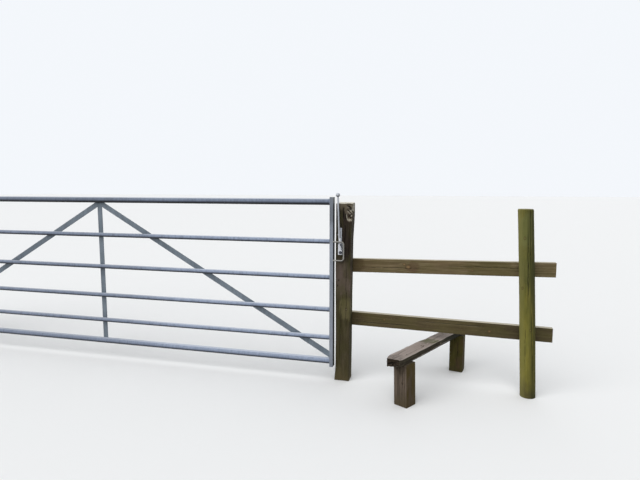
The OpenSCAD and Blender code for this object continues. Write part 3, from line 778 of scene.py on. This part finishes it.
def build_latch_post():
    cracks = [
        (0.108, 1.15, 1.202, 9.0, 14, -0.85, 3), (0.073, 1.2035, 1.2115, 20, 3, 0, 26),
        (0.172, 1.138, 1.178, 18, 12, -2.6, 4), (0.093, 1.138, 1.172, 4.6, 10, -0.9, 5),
        (0.074, 1.124, 1.15, 5.0, 7, 0.8, 6), (0.083, 1.108, 1.126, 8.0, 4, 0, 12),
        (0.042, 1.105, 1.192, 3.6, 7, 0.0, 7), (0.055, 1.1, 1.15, 3.0, 6, 0.0, 14),
        (0.111, 1.118, 1.146, 4, 6, 0.0, 16), (0.052, 0.93, 1.075, 3.0, 8, 0.02, 24),
        (0.07, 0.3, 0.93, 1.6, 6, -0.015, 9), (0.03, 0.98, 1.1, 1.8, 6, 0.02, 8),
        (0.08, 0.84, 1.08, 1.8, 6, 0.01, 10), (0.024, 0.12, 0.6, 1.5, 5, 0.02, 11),
        (0.145, 0.35, 1.1, 2.2, 9, 0.01, 13), (0.12, 0.02, 0.5, 1.5, 5, -0.02, 15),
        (0.235, 0.2, 1.21, 2.4, 9, 0.0, 17), (0.27, 0.1, 0.7, 1.5, 5, 0.02, 19),
        (0.33, 0.4, 1.21, 2.0, 7, 0.0, 21), (0.016, 0.688, 0.704, 3.0, 7, 0, 22),
        (0.011, 0.652, 0.667, 3.0, 7, 0, 23)]
    scars = [
        (0.089, 1.156, 0.038, 5, -1.0), (0.075, 1.152, 0.034, 5.5, -0.9), (0.091, 1.131, 0.016, 8),
        (0.079, 1.103, 0.018, 15), (0.135, 1.172, 0.05, 22, -1.2), (0.062, 1.122, 0.05, 4, -0.2)]
    knots = [(0.08, 1.108, 22, 1.5), (0.14, 0.72, 14), (0.25, 0.95, 16), (0.34, 0.52, 12), (0.068, 0.5, 9)]
    side = LATCH_POST_SIDE
    timber("latch_post", "post_timber", latch_post_look, rounded_section(side, side, 4, 2.2),
           stations(box["latch_post"][1].z, 4.5, 7), leaning_place(0, 0, LATCH_POST_LEAN), latch_post_shape,
           cracks, knots, 4, (0.012, 0.02), wave=1.2, fibre=0.45, scars=scars,
           cap_cracks=[(35, 0.05, 5), (160, 0.05, 4), (265, 0.04, 4), (100, 0.03, 3)])


def build_hanging_post():
    low, high = box["hanging_post"]
    side = high.x - low.x
    cracks = [
        (0.08, 0.1, 1.34, 2.6, 10, 0.01, 31), (0.13, 0.5, 1.2, 1.8, 6, -0.02, 33),
        (0.26, 0.05, 0.9, 2.2, 8, 0.01, 35), (0.43, 0.3, 1.34, 2.6, 10, 0.0, 37),
        (0.6, 0.2, 1.3, 2.4, 9, 0.01, 39), (0.5, 0.05, 0.5, 1.8, 6, 0.02, 41)]
    knots = [(0.05, 0.88, 18), (0.12, 0.42, 14), (0.3, 1.12, 17), (0.47, 0.66, 15), (0.64, 0.98, 18)]
    timber("hanging_post", "post_timber", hanging_post_look, rounded_section(side, side, 5, 3.4),
           stations(high.z, 8), leaning_place((low.x + high.x) / 2, (low.y + high.y) / 2, 0),
           lambda local: softened_ends(local, 3, 5), cracks, knots, 9, (0.01, -0.02), wave=1.0,
           cap_cracks=[(20, 0.05, 6), (140, 0.04, 5), (250, 0.05, 5), (310, 0.03, 4), (80, 0.03, 3)])


def build_round_post():
    high = box["round_post"][1]
    height = high.z
    leaning = leaning_place(high.x - ROUND_POST_D / 2, high.y - ROUND_POST_D / 2, -ROUND_POST_LEAN)
    seat_y = box["upper_stile_rail"][0].y + 0.5 * MM

    def shape(local):
        """Rounds its head and bows it to the right."""
        z = local[..., 2]
        local[..., :2] *= (1 - 0.085 * unit((z - (height - 6 * MM)) / (6 * MM)) ** 1.5)[..., None]
        local[..., 0] += 3.5 * MM * np.sin(np.pi * unit(z / height)) * 0.7
        return local

    def place(points):
        """Leans it, and cuts a flat seat for each rail into its back."""
        out = leaning(points)
        for top, rise in (UPPER_LINE, LOWER_LINE):
            edge = top + out[:, 0] * math.tan(rise)
            seated = (out[:, 2] < edge + MM) & (out[:, 2] > edge - RAIL_H - MM)
            out[:, 1] = np.where(seated, np.minimum(out[:, 1], seat_y), out[:, 1])
        return out

    cracks = [
        (0.075, 0.55, 1.1, 1.8, 6, 0.01, 51), (0.105, 0.05, 0.62, 1.8, 6, -0.02, 53),
        (0.05, 0.2, 0.5, 1.4, 4, 0.02, 55), (0.095, 0.8, OPEN, 2.0, 7, 0.01, 57),
        (0.19, 0.1, 1.0, 2.6, 12, 0.01, 59), (0.25, 0.5, 1.1, 1.6, 6, 0.0, 61)]
    knots = [(0.06, 1.01, 10, 1.6), (0.085, 0.44, 9, 1.6), (0.04, 0.7, 9, 1.4), (0.16, 0.9, 11, 1.6),
             (0.23, 0.35, 11, 1.6)]
    timber("round_post", "mossy_timber", round_look, round_section(ROUND_POST_D, 2.2 * MM),
           stations(height, 5, 5), place, shape, cracks, knots, 14, (0.004, 0.003), wave=1.1,
           cap_cracks=[(200, 0.06, 5), (300, 0.05, 4), (60, 0.05, 4)])


# Stile rails, step and nails


def build_stile_rail(node, line, look, seed, cracks, knots):
    """line is the height of the rail's upper edge at X = 0, and its slope."""
    top, rise = line
    low, high = box[node]

    def place(points):
        across, through, along = points.T
        x = low.x + along * math.cos(rise)
        z = top + x * math.tan(rise) - RAIL_H / 2 / math.cos(rise) + across
        return np.stack([x, low.y + RAIL_T / 2 + through, z], -1)

    timber(node, "rail_timber", look, rounded_section(RAIL_H, RAIL_T, 3, 2.4),
           stations((high.x - low.x) / math.cos(rise), 5), place, lambda local: softened_ends(local, 2),
           cracks, knots, seed, (0.01, 0.05), wave=0.7, fibre=0.3, sawn=0.06)


def step_place(at, aside, turn):
    """Turns points of an upright or lying piece of the step into the CAD frame."""
    spin = Matrix.Rotation(-STEP_TURN, 3, "Z")
    origin = Vector((STEP_X, -STEP_Y, 0)) + spin @ Vector((aside, at, 0))
    spin = np.array(spin @ Matrix.Rotation(turn, 3, "Z"))
    return lambda points: points @ spin.T + np.array(origin)


def leaning_leg(place, foot, head, height):
    """Shifts an upright piece's foot and head along X, by millimetres."""
    def leaned(points):
        out = place(points)
        out[:, 0] += foot * MM + (head * MM - foot * MM) * out[:, 2] / height
        return out

    return leaned


def plank_shape(local):
    """The footboard: across is to the right, through is up, and its near end is at 0."""
    local = softened_ends(local, 2)
    x, z = local[..., 0], local[..., 2]
    near = unit(1 - z / 0.09)
    # The near end is cut on a slant and frayed
    local[..., 2] += x * math.tan(END_SLANT) * near
    local[..., 2] += near ** 3 * noise(local, (0.012, 0.012, 1), 71) * 3 * MM
    left, right = unit(-x / (PLANK_W / 2)), unit(x / (PLANK_W / 2))
    upper, lower = unit(local[..., 1] / 0.02), unit(-local[..., 1] / 0.015)
    # Its underside hangs lower at the near left, and its upper right edge is worn down
    hang = lower * unit(1 - z / 0.055) ** 0.8 * (2 * MM + 8 * MM * unit(0.5 - x / PLANK_W))
    local[..., 1] -= hang * (0.75 + 0.5 * noise(local, (0.016, 1, 1), 79))
    worn = right ** 4 * upper * (1 + 0.6 * noise(local, (1, 1, 0.06), 77))
    local[..., 1] -= worn * 2.2 * MM
    # Its left edge waves and widens along it, and both corners of the near end are rounded off
    wane = 6 * MM - 11 * MM * smooth(unit((z - 0.36) / 0.12))
    local[..., 0] -= left * (wane + 2 * MM * noise(local, (1, 1, 0.035), 78))
    local[..., 0] += left * 17 * MM * unit(1 - (z + 0.01) / 0.075) ** 1.6
    local[..., 0] -= right * (3 * MM * unit(1 - z / 0.5) + 10 * MM * unit(1 - z / 0.05) ** 2)
    return local


def build_step():
    low, high = box["step_plank"]
    upright = step_place(0, 0, 0)

    def place(points):
        across, through, along = points.T
        return upright(np.stack([across, along, through + (low.z + high.z) / 2], -1))

    cracks = [
        (0.16, 0.02, 0.5, 1.8, 5, 0.01, 73), (0.185, 0.3, 0.9, 1.8, 5, -0.01, 75),
        (0.205, 0.0, 0.22, 1.8, 6, 0.03, 77), (0.105, 0.1, 0.7, 1.6, 5, 0.0, 79),
        (0.04, 0.2, 0.8, 1.6, 5, 0.0, 81), (0.234, 0.05, 0.7, 1.6, 5, 0.0, 83)]
    timber("step_plank", "plank_timber", plank_look, rounded_section(PLANK_W, high.z - low.z, 4, 2.2),
           stations(PLANK_L, 5), place, plank_shape, cracks,
           [(0.172, 0.33, 13), (0.115, 0.52, 11), (0.2, 0.66, 12)], 21, (0.0, -0.06), rough_end=2.2,
           foot_cracks=[(200, 0.16, 7), (250, 0.12, 8), (325, 0.1, 6), (20, 0.06, 5)])
    for node, at, turn, seed, look, foot, head in (
            ("near_step_leg", NEAR_LEG_AT, -NEAR_LEG_TURN, 25, leg_look, 5.2, -1),
            ("far_step_leg", FAR_LEG_AT, FAR_LEG_TURN, 27, far_leg_look, 0, 0)):
        top = box[node][1].z
        cracks = [(0.05 + 0.005 * (seed % 3), 0.02, 0.25, 1.8, 6, 0.02, seed),
                  (0.14, 0.0, 0.2, 1.6, 5, 0.02, seed + 1), (0.24, 0.05, OPEN, 1.8, 6, 0.0, seed + 2),
                  (0.33, 0.02, 0.2, 1.6, 5, 0.0, seed + 3)]
        knots = [(0.06, 0.15, 9), (0.29, 0.1, 10)]
        timber(node, "post_timber", look, rounded_section(LEG_SIDE, LEG_SIDE, 4, 2.6), stations(top, 5),
               leaning_leg(step_place(at, LEG_ASIDE, turn), foot, head, top),
               lambda local: softened_ends(local, 1.5), cracks, knots, seed, (0.015, 0.01))


def nail(name, point, direction, radius):
    """A round nail head, slightly domed, that stands on a face at a point."""
    direction, point = Vector(direction), Vector(point)
    path = [point + direction * out * MM for out in (-1.5, 0.2, 0.8, 1.2)]
    bar(name, path, radius, nail_look, "posts", sides=20, radii=[radius, radius, radius * 0.9, radius * 0.6])


def build_nails():
    """Two nails through each rail into each post, and two through the footboard into each leg."""
    back = box["upper_stile_rail"][1].y
    round_x = box["round_post"][1].x - ROUND_POST_D / 2
    count = 0
    for top, rise in (UPPER_LINE, LOWER_LINE):
        for post_x, apart, lean in ((4 * MM, 1, 0), (round_x, 0.6, -math.tan(ROUND_POST_LEAN))):
            for dx, down in ((-0.018, 0.024), (0.016, 0.058)):
                z = top - down
                x = post_x + dx * apart + lean * z
                nail("rail_nail.%d" % count, (x, back - 0.6 * MM, z + x * math.tan(rise)), BACK, 4.2 * MM)
                count += 1
    top = box["step_plank"][1].z
    for at in (NEAR_LEG_AT, FAR_LEG_AT):
        for dx, dy in ((-0.02, -0.012), (0.022, 0.014)):
            x, y, _ = step_place(at, 0, 0)(np.array([[dx, dy, 0.0]]))[0]
            nail("step_nail.%d" % count, (x, y, top - 1.2 * MM), UP, 4.6 * MM)
            count += 1


# Gate leaf

INNER_RAILS = ("second_rail", "third_rail", "fourth_rail", "fifth_rail")
BEAD_STEPS = 14


def build_gate():
    left, right = box["top_rail"][0].x, box["top_rail"][1].x
    y = middle("top_rail").y
    stile_face = box["hinge_stile"][1].x
    for i, node in enumerate(("top_rail", *INNER_RAILS, "bottom_rail")):
        radius = (box[node][1].z - box[node][0].z) / 2
        z = middle(node).z
        look = zinc_top if node == "top_rail" else zinc
        bar(node + ".tube", [(left, y, z), (right, y, z)], radius, look, "gate", node, sides=48,
            spacing=24 * MM, wobble=0.12 * MM, seed=i + 2)
        for side, x, inward in (("left", stile_face, 1), ("right", right, -1)):
            place = (x + inward * 0.8 * MM, y, z)
            weld("weld.%s.%s" % (node, side), place, radius + 0.6 * MM, "gate", zinc, 2.0, i)
    for node in ("latch_stile", "hinge_stile"):
        softened(node, "gate", zinc_stile, 2.2, segments=3)
    for node in ("centre_upright", "left_brace", "right_brace"):
        softened(node, "gate", zinc_flat, 1.0)
    build_crossings()


def build_crossings():
    """Short weld beads where the inner rails cross the upright and the braces."""
    low, high = box["centre_upright"]
    upright_x = (low.x + high.x) / 2
    run = box["right_brace"][1].x - upright_x
    for node in INNER_RAILS:
        z = middle(node).z
        aside = (BRACE_HEAD_Z - z) / (BRACE_HEAD_Z - BRACE_FOOT_Z) * run
        for where, x, width in (("upright", upright_x, 30 * MM), ("right", upright_x + aside, 50 * MM),
                                ("left", upright_x - aside, 50 * MM)):
            sizes = [2.0 * MM * (1 + 0.2 * math.sin(k * 2.2 + x * 9)) for k in range(BEAD_STEPS + 1)]
            for up, end in ((-1, "foot"), (1, "top")):
                path = [(x + width * (k / BEAD_STEPS - 0.5), low.y - 1.2 * MM, z + up * 6.5 * MM)
                        for k in range(BEAD_STEPS + 1)]
                name = "weld.%s.%s.%s" % (node, where, end)
                bar(name, path, 2 * MM, zinc_flat, "gate", sides=8, radii=sizes)


# Hinges

NUT_SIDES, THREAD_SIDES, THREAD_PITCH, THREAD_RINGS = 96, 36, 2.5 * MM, 6


def ringed(name, origin, axis, rings, body, *nodes, sides=36, closed=False):
    """A skin over rings about an axis, each a distance along it and a radius, or a radius for each
    point. The first point of a ring lies on its upper side. closed joins the last ring to the first."""
    axis = Vector(axis)
    start = Vector(UP if abs(axis.z) < 0.9 else RIGHT)
    u = (start - axis * axis.dot(start)).normalized()
    circle = circle_points(sides, u, axis.cross(u))
    points = [np.array(origin) + np.array(axis) * along + circle * (np.ones(sides) * radius)[:, None]
              for along, radius in rings]
    obj = mend_normals(add_object(name, points, closed_skin(len(rings), sides, closed), zinc_dark))
    obj.data.set_sharp_from_angle(angle=math.radians(42))
    belongs(obj, body, "zinc", *nodes)


def mirrored(rings, thick):
    """Rings of one face of a plate, followed by the same ones of its other face."""
    return rings + [(thick - along, radius) for along, radius in reversed(rings)]


def hex_nut(name, origin, axis, body):
    """A hexagonal nut from the origin along the axis, with its corners turned off at both faces."""
    half = NUT_ACROSS / 2
    turn = np.arange(NUT_SIDES) * math.tau / NUT_SIDES
    flat = half / np.cos((turn + math.pi / 6) % (math.pi / 3) - math.pi / 6)
    corner = half / math.cos(math.pi / 6)
    drop = (corner - half) * 0.62
    sizes = (0, half * 0.6), (0, half * 0.98), (drop * 0.5, (half + corner) / 2), (drop, corner)
    rings = [(along, np.minimum(flat, size)) for along, size in sizes]
    ringed(name, origin, axis, mirrored(rings, NUT_T), body, sides=NUT_SIDES)


def square_washer(name, origin, axis, body):
    """A square washer with rounded corners, from the origin along the axis."""
    half, soft = WASHER_SIDE / 2, 0.8 * MM
    turn = np.arange(NUT_SIDES) * math.tau / NUT_SIDES
    square = (np.abs(np.cos(turn)) ** 14 + np.abs(np.sin(turn)) ** 14) ** (-1 / 14) * half
    rings = [(0, half * 0.5), (0, square - soft), (soft, square)]
    ringed(name, origin, axis, mirrored(rings, WASHER_T), body, sides=NUT_SIDES)


def threaded(name, origin, axis, length, body):
    """A threaded length of bolt from the origin along the axis, with its tip turned off."""
    turn = np.arange(THREAD_SIDES) / THREAD_SIDES
    count = round(length / THREAD_PITCH * THREAD_RINGS)
    rings = []
    for i in range(count + 1):
        along = length * i / count
        wave = np.abs((along / THREAD_PITCH - turn) % 1 - 0.5) * 2
        size = BOLT_R - 1.3 * MM * (1 - wave) - 1.5 * MM * max(0.0, 1 - (length - along) / (1.6 * MM))
        rings.append((along, size))
    ringed(name, origin, axis, rings, body, sides=THREAD_SIDES)


def build_hinge_eye(node):
    low, high = box[node]
    y, z = middle(node).y, middle(node).z
    x = low.x + EYE_R
    name = node + "."
    soft, turned = 2.5 * MM, 1.2 * MM
    rim = mirrored([(0, EYE_R - soft), (0.7 * MM, EYE_R - 0.8 * MM), (soft, EYE_R)], EYE_H)
    bore = mirrored([(0, EYE_BORE + turned), (turned, EYE_BORE)], EYE_H)[::-1]
    ringed(name + "ring", (x, y, z - EYE_H / 2), UP, rim + bore, "gate", node, sides=64, closed=True)
    face, back = box["hinge_stile"][0].x, box["hinge_stile"][1].x
    start = EYE_R - 3 * MM
    neck = [(start, BOLT_R + 2.5 * MM), (start + 4 * MM, BOLT_R + 0.9 * MM), (start + 8 * MM, BOLT_R),
            (face - x - NUT_T, BOLT_R)]
    ringed(name + "neck", (x, y, z), RIGHT, neck, "gate")
    hidden = 6 * MM
    threaded(name + "thread", (face - NUT_T - hidden, y, z), RIGHT, high.x - face + NUT_T + hidden, "gate")
    hex_nut(name + "nut_front", (face - NUT_T, y, z), RIGHT, "gate")
    hex_nut(name + "nut_back", (back, y, z), RIGHT, "gate")


def build_hinge_hook(node, eye, up):
    """up is 1 where the pin points up from its boss, and -1 where it hangs down."""
    low, high = box[node]
    name = node + "."
    y, z = middle(eye).y, middle(eye).z
    x = box[eye][0].x + EYE_R
    base = z - up * (EYE_H / 2 + SLIDE_GAP + BOSS_H)
    tip = high.z - base if up > 0 else base - low.z
    soft = 1.6 * MM
    boss = mirrored([(0, BOSS_R - soft), (0.5 * MM, BOSS_R - 0.5 * MM), (soft, BOSS_R)], BOSS_H)
    pin = [(BOSS_H, PIN_R), (tip - 3 * MM, PIN_R), (tip - 1.2 * MM, PIN_R - 0.8 * MM), (tip, PIN_R - 3 * MM)]
    ringed(name + "pin", (x, y, base), (0, 0, up), boss + pin, "posts", node, sides=48)
    bolt_z = base + up * BOSS_H / 2
    near, far = x - HOOK_REACH, box["hanging_post"][0].x
    weld(name + "weld", (x - BOSS_R + 1.5 * MM, y, bolt_z), BOLT_R + 0.5 * MM, "posts", zinc_dark, 2.2)
    shank = [(0, BOLT_R), (x - near - WASHER_T - NUT_T - 16 * MM, BOLT_R)]
    ringed(name + "shank", (x, y, bolt_z), (-1, 0, 0), shank, "posts")
    start = near + WASHER_T + NUT_T + 18 * MM
    threaded(name + "thread", (start, y, bolt_z), (-1, 0, 0), start - low.x, "posts")
    sides = (("near", near, 1), ("far", far, -1))
    for side, at, out in sides:
        square_washer(name + "washer_" + side, (at, y, bolt_z), (out, 0, 0), "posts")
    for side, at, out in sides:
        hex_nut(name + "nut_" + side, (at + out * WASHER_T, y, bolt_z), (out, 0, 0), "posts")


def build_hinges():
    build_hinge_eye("top_hinge_eye")
    build_hinge_eye("bottom_hinge_eye")
    build_hinge_hook("top_hinge_hook", "top_hinge_eye", -1)
    build_hinge_hook("bottom_hinge_hook", "bottom_hinge_eye", 1)


# Latch


def build_latch():
    low, high = box["latch_hoop"]
    y = (low.y + high.y) / 2
    upper, lower, end = high.z - HOOP_R, low.z + HOOP_R, high.x - HOOP_R
    path = rounded_path([(low.x, y, upper), (end, y, upper), (end, y, lower), (low.x, y, lower)], HOOP_CORNER)
    bar("latch_hoop.bar", path, HOOP_R, zinc_hoop, "gate", "latch_hoop", sides=28, spacing=6 * MM,
        wobble=0.1 * MM, seed=8)
    for z in (upper, lower):
        place = (low.x + 0.8 * MM, y, z)
        weld("weld.hoop.%d" % round(z * 1000), place, HOOP_R + 0.5 * MM, "gate", zinc_hoop, 1.8)
    softened("lever_arm", "lever", zinc_hook, 0.6)
    softened("lever_hub", "lever", zinc_dark, 0.5)
    softened("latch_hook", "lever", zinc_hook, 1.2, segments=3)
    softened("latch_plate", "posts", zinc_bright, 0.6)
    softened("latch_pivot", "posts", zinc_dark_pivot, 0.5)
    softened("lever_rod", "lever", zinc_bright, 0.6)
    build_knob()


def build_knob():
    """A ball, cut off where the rod's top meets it."""
    low, high = box["lever_knob"]
    centre = (low + high) / 2
    radius = (high.x - low.x) / 2
    up = Matrix.Rotation(-ROD_LEAN, 3, "Y") @ Vector(UP)
    foot, head, steps = -0.93, 0.995, 24
    heights = [min(foot + (1 - foot) * i / steps, head) for i in range(steps + 1)]
    path = [centre + up * radius * t for t in heights]
    bar("lever_knob.ball", path, radius, zinc_bright, "lever", "lever_knob", sides=40,
        radii=[radius * math.sqrt(1 - t * t) for t in heights])


# Everything

build_latch_post()
build_hanging_post()
build_round_post()
build_stile_rail("upper_stile_rail", UPPER_LINE, upper_rail_look, 17,
                 [(0.03, 0.1, 0.62, 1.5, 4, 0.01, 91), (0.055, 0.62, 1.3, 1.5, 4, -0.01, 93),
                  (0.15, 0.1, 0.9, 1.8, 5, 0.0, 95)],
                 [(0.04, 0.452, 22, 1.2), (0.058, 0.425, 12), (0.028, 0.86, 8), (0.16, 0.7, 13)])
build_stile_rail("lower_stile_rail", LOWER_LINE, lower_rail_look, 19,
                 [(0.026, 0.05, 0.5, 1.5, 4, 0.0, 97), (0.06, 0.45, 1.05, 1.5, 4, 0.01, 99),
                  (0.165, 0.3, 1.2, 1.8, 5, 0.0, 101)],
                 [(0.052, 0.3, 9), (0.036, 0.98, 11), (0.15, 0.42, 13)])
build_step()
build_nails()
build_gate()
build_hinges()
build_latch()


# Camera, light and floor

PHOTO_WIDTH, FOCAL_PIXELS, SENSOR = 640, 500.0, 36.0
CAMERA_PLACE, CAMERA_DOWN, CAMERA_LEFT = (0.6955, -3.2745, 1.331), 6.27, 14.78
WORLD_LIGHT, WORLD_SEEN = 0.38, 0.97
FLOOR_LIT, FLOOR_SEEN, FLOOR_REACH = (0.36, 0.36, 0.35, 1), (0.84, 0.84, 0.83, 1), 60.0

camera_data = bpy.data.cameras.new("camera")
camera_data.sensor_width = SENSOR
camera_data.lens = SENSOR * FOCAL_PIXELS / PHOTO_WIDTH
camera_data.clip_end = 200
camera = linked("camera", camera_data)
camera.location = CAMERA_PLACE
camera.rotation_euler = Euler((math.radians(90 - CAMERA_DOWN), 0, math.radians(CAMERA_LEFT)))
scene.camera = camera


def sky_light(name, direction, strength, angle, colour):
    data = bpy.data.lights.new(name, "SUN")
    data.energy = strength
    data.angle = math.radians(angle)
    data.color = colour
    linked(name, data).rotation_euler = (-Vector(direction)).to_track_quat("-Z", "Y").to_euler()


def seen_by_eye(look):
    """1 for rays that show the background, in glass and metal too, and 0 for light that falls."""
    path = look.node("LightPath", {})
    share = path["Is Camera Ray"]
    for output in ("Is Glossy Ray", "Is Transmission Ray"):
        share = look.math("MAXIMUM", share, path[output])
    return share


sky_light("sky_front", (-0.35, -1.0, 0.9), 2.45, 70, (0.99, 0.99, 1.0))
sky_light("sky_back", (0.7, 1.0, 0.8), 1.1, 90, (0.96, 0.98, 1.0))

scene.world = bpy.data.worlds.new("world")
sky = Look(scene.world)
background = sky.tree.nodes["Background"].inputs
background["Color"].default_value = (0.93, 0.96, 1.0, 1)
sky.feed(background["Strength"], sky.spread(seen_by_eye(sky), 0.0, 1.0, WORLD_LIGHT, WORLD_SEEN))

floor_look = Look(bpy.data.materials.new("floor_paper"), FLOOR_LIT)
floor_look.tint(FLOOR_SEEN, seen_by_eye(floor_look))
corners = [(x * FLOOR_REACH, y * FLOOR_REACH, 0) for x, y in ((-1, -1), (1, -1), (1, 1), (-1, 1))]
floor = add_object("floor", corners, [(0, 1, 2, 3)], floor_look.finish(0.95, specular=0.1))

scene.view_settings.view_transform = "Standard"
